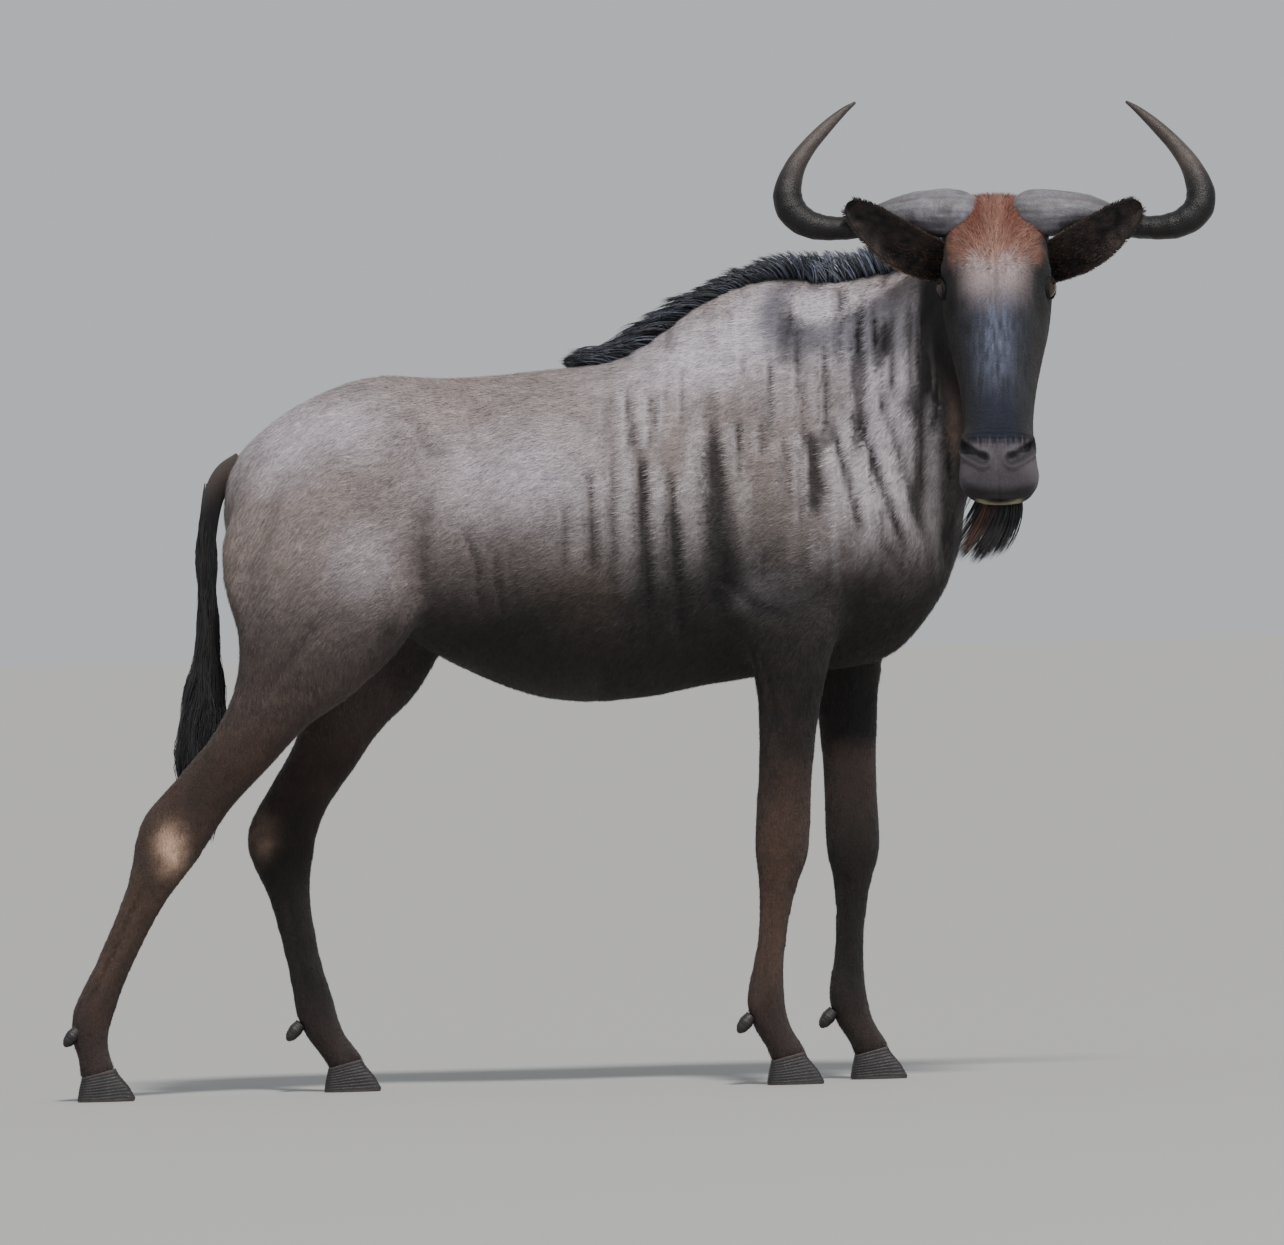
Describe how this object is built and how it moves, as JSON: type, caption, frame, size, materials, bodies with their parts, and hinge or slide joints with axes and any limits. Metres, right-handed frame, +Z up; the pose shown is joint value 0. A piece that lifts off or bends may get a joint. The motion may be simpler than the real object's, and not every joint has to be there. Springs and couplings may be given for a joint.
{
  "type": "wildebeest",
  "caption": "Life-size standing wildebeest, head turned square to its right side, curved horns, mane, beard and tufted tail.",
  "frame": {"origin": "on the floor under the middle of the animal's box", "axes": "+X towards the front of the body, +Y towards the animal's left, +Z up"},
  "size_m": [1.8662, 0.5594, 1.566],
  "materials": {
    "coat": "short grey-brown fur",
    "leg_coat": "short dark red-brown fur",
    "face": "short black fur",
    "black_hair": "long black hair",
    "horn": "ribbed grey-brown horn",
    "hoof": "dull black horn",
    "eye": "wet dark brown"
  },
  "bodies": {
    "root": {"torso": "coat", "neck": "coat", "head": "face", "horn_left": "horn", "horn_right": "horn", "ear_left": "face", "ear_right": "face", "eye_left": "eye", "eye_right": "eye", "tail": "black_hair", "tail_tuft": "black_hair", "mane": "black_hair", "beard": "black_hair", "foreleg_left_upper": "leg_coat", "foreleg_left_lower": "leg_coat", "foreleg_left_hoof_inner": "hoof", "foreleg_left_hoof_outer": "hoof", "foreleg_left_dewclaw_inner": "hoof", "foreleg_left_dewclaw_outer": "hoof", "foreleg_right_upper": "leg_coat", "foreleg_right_lower": "leg_coat", "foreleg_right_hoof_inner": "hoof", "foreleg_right_hoof_outer": "hoof", "foreleg_right_dewclaw_inner": "hoof", "foreleg_right_dewclaw_outer": "hoof", "hindleg_left_upper": "coat", "hindleg_left_lower": "leg_coat", "hindleg_left_hoof_inner": "hoof", "hindleg_left_hoof_outer": "hoof", "hindleg_left_dewclaw_inner": "hoof", "hindleg_left_dewclaw_outer": "hoof", "hindleg_right_upper": "coat", "hindleg_right_lower": "leg_coat", "hindleg_right_hoof_inner": "hoof", "hindleg_right_hoof_outer": "hoof", "hindleg_right_dewclaw_inner": "hoof", "hindleg_right_dewclaw_outer": "hoof"}
  },
  "joints": []
}
